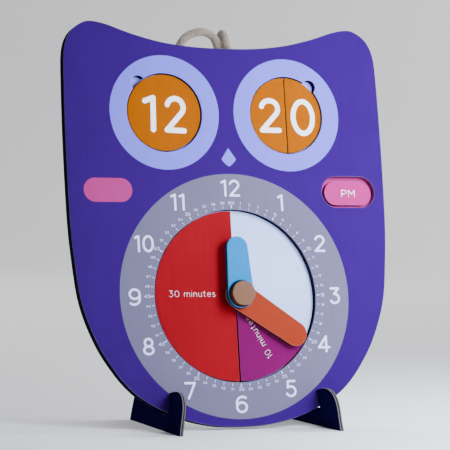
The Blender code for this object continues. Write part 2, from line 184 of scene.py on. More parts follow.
class Finish:
    """A material with its shader's sockets and the place on the piece to paint by."""

    def __init__(self, name):
        self.material = bpy.data.materials.new(name)
        self.material.use_nodes = True
        tree = self.material.node_tree
        self.shader = tree.nodes["Principled BSDF"]
        self.start = Value(tree)
        self.place = self.start.node("ShaderNodeTexCoord", out="Object")

    def place_on_board(self):
        """The place in the board's own frame."""
        return self.start.node("ShaderNodeMapping", {"vector_type": "TEXTURE"}, {
            "Vector": self.place, "Location": board.translation, "Rotation": board.to_euler()})

    def set(self, **sockets):
        """Gives the shader's sockets, by their names, a number, a colour or a value's link."""
        for name, value in sockets.items():
            socket = self.shader.inputs[name.replace("_", " ").title().replace("Ior", "IOR")]
            if isinstance(value, Value):
                self.start.tree.links.new(value.socket, socket)
            else:
                socket.default_value = value


def ink(red, green, blue):
    """A display colour, each channel from 0 to 255, as the shader takes it."""
    linear = []
    for channel in (red, green, blue):
        share = channel / 255
        linear.append(share / 12.92 if share < 0.04045 else ((share + 0.055) / 1.055) ** 2.4)
    return (*linear, 1.0)


def turned(profile, axis, steps, same_place):
    """A shape turned round an axis from its profile of (radius, place along the axis)."""
    bm = bmesh.new()
    points = [bm.verts.new((radius, along * axis[1], along * axis[2])) for radius, along in profile]
    edges = [bm.edges.new(pair) for pair in zip(points, points[1:])]
    bmesh.ops.spin(bm, geom=points + edges, axis=axis, angle=2 * math.pi, steps=steps, use_merge=True)
    bmesh.ops.remove_doubles(bm, verts=bm.verts, dist=same_place)
    return bm


def finished_mesh(name, bm, finish):
    """Turns a shape's faces outwards and makes it an object with its finish."""
    bmesh.ops.recalc_face_normals(bm, faces=bm.faces)
    mesh = bpy.data.meshes.new(name)
    bm.to_mesh(mesh)
    bm.free()
    mesh.materials.append(finish.material)
    return in_scene(name, mesh)


pale_floor = Finish("pale_floor")
floor_cloud = pale_floor.place.noise(3.0, detail=3.0)
pale_floor.set(base_color=floor_cloud.mix(ink(222, 222, 224), ink(228, 228, 230)), roughness=0.85)
FLOOR_RADIUS = 2.3
SWEEP_RADIUS = 0.9
WALL_HEIGHT = 2.0
SWEEP_STEPS = 12
sweep = [(0.0, 0.0), (1.0, 0.0), (FLOOR_RADIUS, 0.0)]
for step in range(1, SWEEP_STEPS + 1):
    turn = math.radians(90 * step / SWEEP_STEPS)
    sweep.append((FLOOR_RADIUS + SWEEP_RADIUS * math.sin(turn), SWEEP_RADIUS * (1 - math.cos(turn))))
sweep.append((FLOOR_RADIUS + SWEEP_RADIUS, WALL_HEIGHT))
floor_shape = turned(sweep, (0, 0, 1), steps=96, same_place=0.0001)
studio_floor = finished_mesh("studio_floor", floor_shape, pale_floor)
studio_floor.data.shade_smooth()

# Each lamp with its place, what it is turned to, its width, height, power and tint.
for name, place, target, width, height, power, tint in (
    ("key_lamp", (0.15, -0.36, 0.28), (0.25, 0.0, 0.14), 0.20, 0.28, 6.0, (0.80, 0.87, 1.0)),
    ("side_lamp", (0.45, -0.04, 0.30), (0.0, 0.0, 0.14), 0.15, 0.35, 4.2, (0.90, 0.93, 1.0)),
    ("fill_lamp", (-1.7, -1.3, 0.9), (0.0, 0.0, 0.12), 1.6, 1.6, 0.6, (0.93, 0.96, 1.0)),
    ("floor_lamp", (-0.5, 1.5, 1.7), (0.0, 0.0, 0.12), 1.4, 1.4, 34.0, (1.0, 1.0, 1.0)),
    ("wall_lamp", (1.9, 0.9, 1.9), (1.3, 2.9, 0.3), 1.4, 1.4, 60.0, (1.0, 1.0, 1.0)),
):
    lamp = bpy.data.lights.new(name, "AREA")
    lamp.shape = "RECTANGLE"
    lamp.size = width
    lamp.size_y = height
    lamp.energy = power
    lamp.color = tint
    holder = in_scene(name, lamp)
    holder.location = place
    holder.visible_camera = False
    holder.rotation_euler = (Vector(target) - holder.location).to_track_quat("-Z", "Y").to_euler()
studio = bpy.data.worlds.new("studio")
studio.use_nodes = True
studio.node_tree.nodes["Background"].inputs["Color"].default_value = (0.93, 0.96, 1.0, 1.0)
studio.node_tree.nodes["Background"].inputs["Strength"].default_value = 0.07
bpy.context.scene.world = studio


# Hanging loop: 5 mm off-white braided cotton cord, both ends glued into holes in the back. It
# stands above the top edge in two bights, and the slack between them hangs down behind the board.
LOOP_ROUTE = [
    (-0.0200, 0.0032, 0.1480), (-0.0200, 0.0085, 0.1480), (-0.0207, 0.0140, 0.1500),
    (-0.0226, 0.0182, 0.1548), (-0.0242, 0.0200, 0.1612), (-0.0229, 0.0203, 0.1684),
    (-0.0185, 0.0204, 0.1746), (-0.0119, 0.0206, 0.1786), (-0.0042, 0.0210, 0.1798),
    (0.0028, 0.0222, 0.1770), (0.0066, 0.0243, 0.1700), (0.0080, 0.0272, 0.1600),
    (0.0075, 0.0301, 0.1480), (0.0066, 0.0328, 0.1350), (0.0061, 0.0352, 0.1235),
    (0.0068, 0.0374, 0.1145), (0.0103, 0.0392, 0.1070), (0.0180, 0.0406, 0.1036),
    (0.0257, 0.0420, 0.1067), (0.0294, 0.0430, 0.1145), (0.0291, 0.0436, 0.1240),
    (0.0262, 0.0438, 0.1360), (0.0224, 0.0437, 0.1480), (0.0190, 0.0432, 0.1600),
    (0.0166, 0.0422, 0.1704), (0.0148, 0.0394, 0.1779), (0.0130, 0.0316, 0.1814),
    (0.0114, 0.0237, 0.1781), (0.0112, 0.0203, 0.1706), (0.0132, 0.0193, 0.1630),
    (0.0167, 0.0182, 0.1557), (0.0191, 0.0142, 0.1502), (0.0200, 0.0085, 0.1480),
    (0.0200, 0.0032, 0.1480),
]


def smooth_route(points, steps):
    """Points of a smooth curve through the given ones, in the model's frame."""
    row = [Vector(point) for point in points[:1] + points + points[-1:]]
    curve = []
    for before, start, end, after in zip(row, row[1:], row[2:], row[3:]):
        for step in range(steps):
            t = step / steps
            curve.append(
                0.5 * (2 * start + (end - before) * t
                       + (2 * before - 5 * start + 4 * end - after) * t * t
                       + (3 * start - before - 3 * end + after) * t * t * t)
            )
    curve.append(row[-1])
    return [board @ point for point in curve]


def shape_tree(name, sizes):
    """A new shape node tree with named sizes, and its geometry and sizes as values."""
    tree = bpy.data.node_groups.new(name, "GeometryNodeTree")
    tree.interface.new_socket("Geometry", in_out="INPUT", socket_type="NodeSocketGeometry")
    for size in sizes:
        tree.interface.new_socket(size, in_out="INPUT", socket_type="NodeSocketFloat")
    tree.interface.new_socket("Geometry", in_out="OUTPUT", socket_type="NodeSocketGeometry")
    given = tree.nodes.new("NodeGroupInput")
    return tree, [Value(tree, socket) for socket in given.outputs if socket.type != "CUSTOM"]


def plain_mesh(name, source, tree, sizes, shape, finish):
    """Runs a shape tree on an object and keeps its result as a piece with a plain mesh."""
    realized = shape.node("GeometryNodeRealizeInstances", values={"Geometry": shape})
    painted = realized.node("GeometryNodeSetMaterial",
                            values={"Geometry": realized, "Material": finish.material})
    result = tree.nodes.new("NodeGroupOutput")
    tree.links.new(painted.socket, result.inputs[0])
    maker = source.modifiers.new(name, "NODES")
    maker.node_group = tree
    for socket in tree.interface.items_tree:
        if socket.in_out == "INPUT" and socket.name in sizes:
            maker[socket.identifier] = sizes[socket.name]
    bpy.context.view_layer.update()
    mesh = bpy.data.meshes.new_from_object(source.evaluated_get(bpy.context.evaluated_depsgraph_get()))
    bpy.data.objects.remove(source, do_unlink=True)
    mesh.name = name
    return in_scene(name, mesh)


cotton = Finish("braided_cotton")
lint = cotton.place.noise(900.0, detail=4.0, roughness=0.7)
tone = cotton.place.noise(160.0, detail=2.0)
cotton_tone = (lint * 0.55 + tone * 0.45).between(0.3, 0.7)
yarn = cotton.start.node("ShaderNodeAttribute", {"attribute_name": "yarn"}, out="Fac")
yarn_tint = yarn.mix(ink(98, 83, 69), ink(150, 135, 119))
cotton_paint = cotton_tone.mix(yarn_tint, ink(143, 128, 112))
# The core is painted dark, as painted shade in the gaps between the yarns.
cotton.set(
    base_color=yarn.between(0.02, 0.08).mix(ink(40, 31, 26), cotton_paint),
    roughness=0.9,
    normal=(lint * 0.7 + tone * 0.3).bump(0.5, 0.0003),
    sheen_weight=0.25,
)
cord_line = smooth_route(LOOP_ROUTE, steps=8)
cord_curve = bpy.data.curves.new("cord_line", "CURVE")
cord_curve.dimensions = "3D"
spline = cord_curve.splines.new("POLY")
spline.points.add(len(cord_line) - 1)
for target, point in zip(spline.points, cord_line):
    target.co = (*point, 1)

YARNS_EACH_WAY = 8
tree, (geometry, lay, middle, weave, half_width, half_thickness, core, spacing) = shape_tree(
    "braid", ("Lay", "Middle Radius", "Weave Depth", "Yarn Half Width", "Yarn Half Thickness",
              "Core Radius", "Point Spacing"))
even = geometry.node("GeometryNodeResampleCurve", {"mode": "LENGTH"},
                     {"Curve": geometry, "Length": spacing})
copies = even.node("GeometryNodeDuplicateElements", {"domain": "SPLINE"},
                   {"Geometry": even, "Amount": 2 * YARNS_EACH_WAY})
which = Value(tree, copies.socket.node.outputs["Duplicate Index"])
along = even.node("GeometryNodeSplineParameter", out="Length")
normal = even.node("GeometryNodeInputNormal")
tangent = even.node("GeometryNodeInputTangent")
side = even.node("ShaderNodeVectorMath", {"operation": "CROSS_PRODUCT"}, {0: tangent, 1: normal})
way_round = 1 - 2 * even.math("FLOOR", which / YARNS_EACH_WAY)
wound = along / lay * (2 * math.pi)
angle = way_round * wound + which * (2 * math.pi / YARNS_EACH_WAY)
lift = way_round * even.math("COSINE", wound * YARNS_EACH_WAY) * weave
outward = even.node("ShaderNodeVectorMath", {"operation": "ADD"}, {
    0: normal.vector_by(even.math("COSINE", angle)), 1: side.vector_by(even.math("SINE", angle))})
held = tree.nodes.new("GeometryNodeCaptureAttribute")
held.capture_items.new("VECTOR", "outward")
held.capture_items.new("FLOAT", "yarn")
tree.links.new(copies.socket, held.inputs["Geometry"])
tree.links.new(outward.socket, held.inputs["outward"])
UNEVEN_STEP = 0.618  # gives yarns that lie side by side unlike tones
tree.links.new(even.math("FRACT", which * UNEVEN_STEP).socket, held.inputs["yarn"])
radial = Value(tree, held.outputs["outward"])
braided = even.node("GeometryNodeSetPosition", values={
    "Geometry": Value(tree, held.outputs["Geometry"]), "Offset": radial.vector_by(middle + lift)})
facing = even.node("GeometryNodeSetCurveNormal", {"mode": "FREE"}, {"Curve": braided, "Normal": radial})
ring = even.node("GeometryNodeCurvePrimitiveCircle", values={"Resolution": 6, "Radius": 1.0})
flat_scale = even.node("ShaderNodeCombineXYZ", values={0: half_thickness, 1: half_width, 2: 1.0})
yarn_end = even.node("GeometryNodeTransform", values={"Geometry": ring, "Scale": flat_scale})
yarns = even.node("GeometryNodeCurveToMesh",
                  values={"Curve": facing, "Profile Curve": yarn_end, "Fill Caps": True})
# The core's dark colour is painted shade between the yarns.
own_share = Value(tree, held.outputs["yarn"]) * 0.9 + 0.1  # the core keeps 0, which is painted dark
named = even.node("GeometryNodeStoreNamedAttribute", {"data_type": "FLOAT", "domain": "POINT"},
                  {"Geometry": yarns, "Name": "yarn", "Value": own_share})
core_ring = even.node("GeometryNodeCurvePrimitiveCircle", values={"Resolution": 12, "Radius": core})
core_tube = even.node("GeometryNodeCurveToMesh",
                      values={"Curve": even, "Profile Curve": core_ring, "Fill Caps": True})
joined = tree.nodes.new("GeometryNodeJoinGeometry")
tree.links.new(core_tube.socket, joined.inputs[0])
tree.links.new(named.socket, joined.inputs[0])
smooth = even.node("GeometryNodeSetShadeSmooth", values={"Geometry": Value(tree, joined.outputs[0])})
cord = plain_mesh("braided_loop", in_scene("cord_line", cord_curve), tree, {
    "Lay": 0.0175, "Middle Radius": 0.00222, "Weave Depth": 0.00021, "Yarn Half Width": 0.00063,
    "Yarn Half Thickness": 0.00046, "Core Radius": 0.0021, "Point Spacing": 0.00052,
}, smooth, cotton)
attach(cord, "board")
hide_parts("hanging_loop")


# Board: three die-cut plies of 2.4 mm greyboard glued together, 7.5 mm thick, with a navy liner
# on the back. Printed paper wraps the front ply over its edges. The front two plies have windows,
# and the rear one is their floor.
SHARP_TURN_DEG = 30
STRAIGHT_SHARE = 3  # a stretch so many times longer than its neighbour is a straight one
BEND_DEG = 0.2
FINE_STEP = 0.0010
FINE_TURN_DEG = 3
CORNER_ROUNDING = 0.0009
CORNER_STEPS = 8
MOST_SETBACK = 1.5
FLAT_MARGIN = 0.00085
PAPER_RIM = 0.0005
RIM_STEPS = 5
NUDGE = 0.00015
SMOOTH_TURN_DEG = 32
SAME_PLACE = 0.000001
SAME_LEVEL = 0.00002
WALL_TILT = 0.05


def turned_by(near, far):
    """Angle in degrees between two flat directions."""
    return math.degrees(near.angle(far))


def solid_in_board(node):
    """A copy of a solid of the frame with its doubles merged, in the board's frame."""
    bm = bmesh.new()
    bm.from_mesh(frame["nodes"][node].data)
    bmesh.ops.remove_doubles(bm, verts=bm.verts, dist=SAME_PLACE)
    bmesh.ops.transform(bm, matrix=board.inverted(), verts=bm.verts)
    bm.normal_update()
    return bm


def cut_lines(node):
    """Outline and holes of a flat piece of the frame, counterclockwise, and its two depths."""
    bm = solid_in_board(node)
    walls = [face for face in bm.faces if abs(face.normal.y) < WALL_TILT]
    level = min(corner.co.y for face in walls for corner in face.verts)
    beside = {}
    for face in walls:
        for edge in face.edges:
            near, far = edge.verts
            if max(near.co.y, far.co.y) < level + SAME_LEVEL:
                beside.setdefault(near, set()).add(far)
                beside.setdefault(far, set()).add(near)
    lines = []
    while beside:
        first = next(iter(beside))
        walked = [first]
        after = beside.pop(first).pop()
        while after is not first:
            walked.append(after)
            choices = beside.pop(after) - set(walked[-2:-1])
            after = choices.pop()
        line = [Vector((corner.co.x, corner.co.z)) for corner in walked]
        area = sum(a.x * b.y - b.x * a.y for a, b in zip(line, line[1:] + line[:1]))
        lines.append((abs(area), line if area > 0 else line[::-1]))
    depths = [corner.co.y for corner in bm.verts]
    bm.free()
    lines.sort(key=lambda sized: -sized[0])
    return [line for _, line in lines], min(depths), max(depths)


def shortened(run, distance):
    """A line without its first stretch."""
    left = distance
    for index, (near, far) in enumerate(zip(run, run[1:])):
        step = (far - near).length
        if step > left:
            return [near.lerp(far, left / step)] + run[index + 1:]
        left -= step
    return run[-2:]


def extent(node):
    """Lowest and highest corner of a solid of the frame, in the board's frame."""
    bm = solid_in_board(node)
    spans = [(min(places), max(places)) for places in zip(*(corner.co for corner in bm.verts))]
    bm.free()
    return [low for low, _ in spans], [high for _, high in spans]


def eased(line, rounding):
    """A cut line with more points on its bends, and its sharp corners rounded."""
    count = len(line)
    ahead = [line[(index + 1) % count] - line[index] for index in range(count)]
    sharp = [turned_by(ahead[index - 1], ahead[index]) > SHARP_TURN_DEG for index in range(count)]

    def direction(index, leaving):
        """Which way the line runs as it leaves or reaches a corner."""
        before, after = ahead[index - 1], ahead[index]
        if sharp[index]:
            return (after if leaving else before).normalized()
        if before.length > STRAIGHT_SHARE * after.length:
            return before.normalized()
        if after.length > STRAIGHT_SHARE * before.length:
            return after.normalized()
        return (before.normalized() * after.length + after.normalized() * before.length).normalized()

    runs = [[]]
    start = sharp.index(True) if any(sharp) else 0
    for offset in range(count):
        index = (start + offset) % count
        if sharp[index] and runs[-1]:
            runs[-1].append(line[index])
            runs.append([])
        near, far = line[index], line[(index + 1) % count]
        leave, arrive = direction(index, True), direction((index + 1) % count, False)
        turn = turned_by(leave, arrive)
        length = (far - near).length
        steps = max(1, math.ceil(turn / FINE_TURN_DEG))
        if turn > BEND_DEG:
            steps = max(steps, math.ceil(length / FINE_STEP))
        for step in range(steps):
            t = step / steps
            runs[-1].append(
                near * (2 * t ** 3 - 3 * t ** 2 + 1) + leave * length * (t ** 3 - 2 * t ** 2 + t)
                + far * (3 * t ** 2 - 2 * t ** 3) + arrive * length * (t ** 3 - t ** 2)
            )
    if not any(sharp):
        return runs[0]
    runs[-1].append(line[start])
    setbacks = []
    for run, after in zip(runs, runs[1:] + runs[:1]):
        turn = turned_by(run[-1] - run[-2], after[1] - after[0])
        setbacks.append(rounding * min(MOST_SETBACK, math.tan(math.radians(turn / 2))))
    trimmed = [
        shortened(shortened(run, setbacks[index - 1])[::-1], setbacks[index])[::-1]
        for index, run in enumerate(runs)
    ]
    rounded = []
    for run, after in zip(trimmed, trimmed[1:] + trimmed[:1]):
        leave, arrive = (run[-1] - run[-2]).normalized(), (after[1] - after[0]).normalized()
        turn = math.radians(turned_by(leave, arrive))
        reach = (after[0] - run[-1]).length / (2 * math.sin(turn / 2)) * math.tan(turn / 4) * 4 / 3
        row = [run[-1], run[-1] + leave * reach, after[0] - arrive * reach, after[0]]
        rounded.extend(run[:-1])
        for step in range(CORNER_STEPS):
            t = step / CORNER_STEPS
            rounded.append(row[0] * (1 - t) ** 3 + row[1] * 3 * t * (1 - t) ** 2
                           + row[2] * 3 * t * t * (1 - t) + row[3] * t ** 3)
    return rounded


def moved_in(line, distance, hole):
    """A cut line moved into the material, which lies outside a hole.

    A corner moves further than the distance, so that its sides keep it, but at most twice as far.
    """
    way = -1 if hole else 1
    count = len(line)
    moved = []
    for index in range(count):
        behind = (line[index] - line[index - 1]).normalized()
        ahead = (line[(index + 1) % count] - line[index]).normalized()
        normal = Vector((-ahead.y - behind.y, ahead.x + behind.x)).normalized()
        share = max(0.5, normal.dot(Vector((-ahead.y, ahead.x))))
        moved.append(line[index] + normal * (way * distance / share))
    return moved


def rounded_levels(front, back, front_rim, back_rim):
    """(distance in, depth, edge) of each ring of a cut piece from its front face to its back.

    The edge value is 0 on the front face, 1 where its rim ends, 2 where the back's begins, then 3.
    """
    quarter = [math.radians(90 * step / RIM_STEPS) for step in range(RIM_STEPS + 1)]
    levels = []
    if front_rim:
        levels += [(FLAT_MARGIN, front, 0.0), (FLAT_MARGIN - NUDGE, front, 0.0)]
        for step, turn in enumerate(quarter):
            inwards = front_rim * (1 - math.sin(turn))
            levels.append((inwards, front + front_rim * (1 - math.cos(turn)), step / RIM_STEPS))
        levels.append((0.0, front + front_rim + NUDGE, 1.1))
    else:
        levels += [(0.0, front, 0.0), (0.0, front + NUDGE, 1.2)]
    if back_rim:
        levels.append((0.0, back - back_rim - NUDGE, 1.9))
        for step, turn in enumerate(quarter):
            inwards = back_rim * (1 - math.cos(turn))
            levels.append((inwards, back - back_rim * (1 - math.sin(turn)), 2 + step / RIM_STEPS))
        levels += [(FLAT_MARGIN - NUDGE, back, 3.0), (FLAT_MARGIN, back, 3.0)]
    else:
        levels += [(0.0, back - NUDGE, 1.8), (0.0, back, 3.0)]
    return levels


def cut_piece(name, lines, levels, finish):
    """A flat piece through its rings, with its edge value kept for its finish."""
    bm = bmesh.new()
    edge_value = bm.verts.layers.float.new("edge")
    rings = []
    for distance, depth, edge in levels:
        ring = []
        for index, line in enumerate(lines):
            corners = []
            for point in moved_in(line, distance, index > 0):
                corner = bm.verts.new((point.x, depth, point.y))
                corner[edge_value] = edge
                corners.append(corner)
            ring.append(corners)
        rings.append(ring)
    for upper, lower in zip(rings, rings[1:]):
        for near, far in zip(upper, lower):
            for index in range(len(near)):
                bm.faces.new((near[index - 1], near[index], far[index], far[index - 1]))
    for ring in (rings[0], rings[-1]):
        corners = [corner for line in ring for corner in line]
        flat = [[Vector((corner.co.x, corner.co.z, 0)) for corner in line] for line in ring]
        for triangle in tessellate_polygon(flat):
            bm.faces.new([corners[corner] for corner in triangle])
    return placed(name, bm, finish)


def placed(name, bm, finish, smooth=True):
    """Moves a shape from the board's frame to its place and makes it a piece."""
    bmesh.ops.transform(bm, matrix=board, verts=bm.verts)
    piece = finished_mesh(name, bm, finish)
    if smooth:
        piece.data.shade_smooth()
        piece.data.set_sharp_from_angle(angle=math.radians(SMOOTH_TURN_DEG))
    return piece


PRINT_EDGE = 0.0001
STREAKS_ACROSS, STREAKS_UP = 1500, 26
RIM_COAT = 0.3


def shade(colour, share, lift=0.0):
    """A colour made darker or lighter by a share, and paler by an even lift."""
    return [min(1.0, channel * share + lift) for channel in colour[:3]] + [1.0]


class Paper(Finish):
    """Printed paper on greyboard: fine streaks, fibre grain, and rims paled by wear and a painted
    highlight.
    """

    def __init__(self, name):
        super().__init__(name)
        spot = self.place_on_board()
        self.across, _, self.rise = spot.parts()
        self.edge = self.start.node("ShaderNodeAttribute", {"attribute_name": "edge"}, out="Fac")
        streaks = spot.stretched(STREAKS_ACROSS, STREAKS_ACROSS, STREAKS_UP)
        self.streak = streaks.noise(1.0, detail=3.0, roughness=0.6)
        self.cloud = spot.noise(38.0, detail=2.0)
        self.fibre = spot.noise(2400.0, detail=2.0, roughness=0.6)
        self.scuff = spot.noise(650.0, detail=4.0, roughness=0.75)

    def disc(self, x, z, radius):
        """1 inside a printed circle, 0 outside it."""
        return ((radius - (self.across - x).distance(self.rise - z)) / PRINT_EDGE + 0.5).clamped()

    def printed(self, dark, light):
        """A printed area: two near tones, mixed by the streaks and clouds."""
        return (self.streak * 0.6 + self.cloud * 0.4).between(0.32, 0.68).mix(dark, light)

    def fibrous(self, colour):
        """The cut side of the board: a colour broken up by its fibres."""
        return self.fibre.between(0.3, 0.7).mix(colour, shade(colour, 0.55))

    def finished(self, printed, worn_highlight_colour, side, rear=None, worn_highlight_share=0.3, gloss=0.008):
        """Prints the face, pales the rim with wear and a painted highlight, and paints cut side and rear.

        A thin coat lies on the rim alone, where the folded paper is pressed smooth.
        """
        rim = self.edge.between(0.1, 0.9)
        rim_patches = self.scuff.between(0.40, 0.66) * 0.6 + 0.4
        # The rims are painted paler, partly as wear and partly as a painted highlight on the rounded edge.
        face = (rim * rim_patches * worn_highlight_share).mix(printed, worn_highlight_colour)
        rear_colour = self.printed(rear, shade(rear, 1.25)) if rear else printed
        on_side = self.edge.between(1.0, 1.1)
        self.set(
            coat_weight=self.edge.between(0.05, 0.25) * (1 - on_side) * RIM_COAT,
            coat_roughness=0.28,
            base_color=self.edge.between(2.0, 2.4).mix(on_side.mix(face, side), rear_colour),
            roughness=self.streak * 0.12 + 0.42 + on_side * 0.35,
            specular_ior_level=gloss,
            normal=(self.fibre * 0.35 + self.streak * 0.65).bump(0.25, 0.00002),
        )


def dress(piece, body, slot, *nodes):
    """Fixes a piece to its body, in place of its plain solids."""
    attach(piece, body)
    if nodes:
        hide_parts(*nodes)


def recut(node, finish, body, slot, front_rim=0.0, back_rim=0.0, trim=0.0):
    """Cuts a flat piece again along its solid's own lines, with finer bends and rims.

    A loose piece has a trim, by which it is smaller all round, so that a gap shows round it.
    """
    lines, front, back = cut_lines(node)
    fine = [
        moved_in(eased(line, CORNER_ROUNDING + 2 * trim), trim, index > 0)
        for index, line in enumerate(lines)
    ]
    piece = cut_piece(f"{node}_cut", fine, rounded_levels(front, back, front_rim, back_rim), finish)
    dress(piece, body, slot, node)


def eye_rings(paper):
    """1 inside the lavender rings round both eyes, 0 outside them."""
    left_eye = paper.disc(eye_x, eye_z, EYE_RING_RADIUS)
    return (left_eye + paper.disc(-eye_x, eye_z, EYE_RING_RADIUS)).clamped()


HOUR_RING_RADIUS = 0.0800
EYE_RING_RADIUS = 0.0378
disc_low, disc_high = extent("hour_disc")
eye_x, eye_z = (disc_low[0] + disc_high[0]) / 2, (disc_low[2] + disc_high[2]) / 2
token_low, token_high = extent("pm_token")
token_x, token_z = (token_low[0] + token_high[0]) / 2, (token_low[2] + token_high[2]) / 2

cover = Paper("purple_printed_paper")
purple = cover.printed(ink(45, 13, 90), ink(51, 15, 99))
grey = cover.printed(ink(96, 92, 114), ink(101, 97, 120))
lavender = cover.printed(ink(105, 104, 212), ink(111, 109, 221))
pink = cover.printed(ink(155, 49, 110), ink(164, 53, 117))
pill_x, pill_z, pill_width, pill_height = -0.0845, 0.0687, 0.0328, 0.0156
along_pill = (cover.across - pill_x).size() - (pill_width - pill_height) / 2
past_end = cover.start.math("MAXIMUM", along_pill, 0.0)
on_pill = ((pill_height / 2 - past_end.distance(cover.rise - pill_z)) / PRINT_EDGE + 0.5).clamped()
BEAK_TOP, BEAK_MIDDLE, BEAK_BOTTOM, BEAK_HALF = 0.0972, 0.0898, 0.0850, 0.0051
BEAK_CRISPNESS = 40
BEAK_FULLNESS = 1.25
beak_side = cover.across.size() / BEAK_HALF
beak_up = (cover.rise - BEAK_MIDDLE) / (BEAK_TOP - BEAK_MIDDLE)
beak_down = cover.start.math("MAXIMUM", (BEAK_MIDDLE - cover.rise) / (BEAK_MIDDLE - BEAK_BOTTOM), 0.0)
beak_rise = cover.start.math("MAXIMUM", beak_up, 0.0)
above = ((1.0 - beak_side - beak_rise) * BEAK_CRISPNESS + 0.5).clamped()
below = ((1.0 - beak_side ** BEAK_FULLNESS - beak_down ** BEAK_FULLNESS) * BEAK_CRISPNESS + 0.5).clamped()
on_beak = above * below
rings_print = eye_rings(cover).mix(cover.disc(0.0, 0.0, HOUR_RING_RADIUS).mix(purple, grey), lavender)
cover_print = on_pill.mix(on_beak.mix(rings_print, lavender), pink)
DARK_EDGE = ink(7, 6, 20)
PILL_WALL = ink(140, 44, 99)
PILL_WALL_REACH = 0.0215
cover_side = cover.disc(token_x, token_z, PILL_WALL_REACH).mix(cover.fibrous(DARK_EDGE), PILL_WALL)
# The pale rim colour is partly wear and partly a painted highlight.
cover.finished(cover_print, ink(172, 166, 226), cover_side, worn_highlight_share=0.35)
recut("front_ply", cover, "board", "purple_print", front_rim=PAPER_RIM)

core = Paper("dark_core_board")
core_side = core.disc(token_x, token_z, PILL_WALL_REACH).mix(core.fibrous(DARK_EDGE), PILL_WALL)
core.finished(core.printed(DARK_EDGE, ink(14, 11, 34)), DARK_EDGE, core_side, gloss=0.0)
recut("middle_ply", core, "board", "dark_board")

floor = Paper("recess_floor_paper")
pale = floor.printed(ink(185, 202, 252), ink(187, 205, 255))
eye_floor = floor.printed(ink(136, 136, 241), ink(143, 143, 252))
pill_floor = floor.printed(ink(169, 52, 120), ink(178, 55, 127))
DIAL_FLOOR_RADIUS = 0.0600
in_dial = floor.disc(0.0, 0.0, DIAL_FLOOR_RADIUS)
in_pill = floor.disc(token_x, token_z, PILL_WALL_REACH)
floor_print = in_pill.mix(eye_rings(floor).mix(in_dial.mix(DARK_EDGE, pale), eye_floor), pill_floor)
floor.finished(floor_print, ink(214, 210, 232), floor.fibrous(DARK_EDGE), rear=ink(23, 14, 60))
recut("back_ply", floor, "board", "floor_print", back_rim=PAPER_RIM)


# Numerals and minute marks: white ink on the grey hour ring, in a round-ended hand. All sixty
# minutes have a mark and their number, and every fifth mark is longer and broader.
PRINT_FILM = 0.00004
MM_PER_M = 1000
# Each sign's width and pen strokes, in shares of its height. A stroke is a row of points and of
# arcs, each arc with its middle, its reach across and up, and the angles from which to which it runs.
SIGNS = {
    "0": (0.62, [[(0.31, 0.5, 0.31, 0.5, 90, 270)], [(0.31, 0.5, 0.31, 0.5, 270, 450)]]),
    "1": (0.22, [[(0.0, 0.89), (0.22, 1.0)], [(0.22, 1.0), (0.22, 0.0)]]),
    "2": (0.56, [[(0.275, 0.725, 0.265, 0.275, 165, -38), (0.0, 0.0)], [(0.0, 0.0), (0.56, 0.0)]]),
    "3": (0.56, [[(0.04, 1.0), (0.52, 1.0)], [(0.52, 1.0), (0.24, 0.62)],
                 [(0.26, 0.31, 0.28, 0.31, 95, -150)]]),
    "4": (0.66, [[(0.66, 0.27), (0.0, 0.27)], [(0.0, 0.27), (0.47, 1.0)], [(0.47, 1.0), (0.47, 0.0)]]),
    "5": (0.55, [[(0.50, 1.0), (0.08, 1.0)], [(0.08, 1.0), (0.05, 0.57)],
                 [(0.24, 0.32, 0.29, 0.32, 130, -150)]]),
    "6": (0.60, [[(0.30, 0.31, 0.30, 0.31, 0, 180)], [(0.30, 0.31, 0.30, 0.31, 180, 360)],
                 [(0.35, 0.62, 0.35, 0.38, 52, 180), (0.0, 0.31)]]),
    "7": (0.58, [[(0.0, 1.0), (0.58, 1.0)], [(0.58, 1.0), (0.18, 0.0)]]),
    "8": (0.56, [[(0.28, 0.755, 0.225, 0.245, 90, 270)], [(0.28, 0.755, 0.225, 0.245, 270, 450)],
                 [(0.28, 0.255, 0.28, 0.255, 90, 270)], [(0.28, 0.255, 0.28, 0.255, 270, 450)]]),
    "9": (0.60, [[(0.30, 0.69, 0.30, 0.31, 0, 180)], [(0.30, 0.69, 0.30, 0.31, 180, 360)],
                 [(0.25, 0.38, 0.35, 0.38, 232, 360), (0.60, 0.69)]]),
    "P": (0.58, [[(0.0, 0.0), (0.0, 1.0)], [(0.0, 1.0), (0.30, 0.72, 0.28, 0.28, 90, -90), (0.0, 0.44)]]),
    "M": (0.76, [[(0.0, 0.0), (0.0, 1.0)], [(0.0, 1.0), (0.38, 0.44)], [(0.38, 0.44), (0.76, 1.0)],
                 [(0.76, 1.0), (0.76, 0.0)]]),
    "m": (0.80, [[(0.0, 0.0), (0.0, 0.66)], [(0.20, 0.46, 0.20, 0.20, 180, 0), (0.40, 0.0)],
                 [(0.60, 0.46, 0.20, 0.20, 180, 0), (0.80, 0.0)]]),
    "i": (0.02, [[(0.01, 0.0), (0.01, 0.66)], [(0.01, 0.93), (0.01, 0.95)]]),
    "n": (0.44, [[(0.0, 0.0), (0.0, 0.66)], [(0.22, 0.44, 0.22, 0.22, 180, 0), (0.44, 0.0)]]),
    "u": (0.44, [[(0.0, 0.66), (0.22, 0.22, 0.22, 0.22, 180, 360)], [(0.44, 0.66), (0.44, 0.0)]]),
    "t": (0.30, [[(0.12, 0.92), (0.25, 0.15, 0.13, 0.15, 180, 280)], [(0.0, 0.66), (0.30, 0.66)]]),
    "e": (0.50, [[(0.02, 0.34), (0.50, 0.34)], [(0.26, 0.33, 0.25, 0.33, 2, 180)],
                 [(0.26, 0.33, 0.25, 0.33, 180, 318)]]),
    "s": (0.38, [[(0.19, 0.495, 0.17, 0.165, 25, 262)], [(0.19, 0.165, 0.19, 0.165, 82, -155)]]),
    " ": (0.22, []),
}


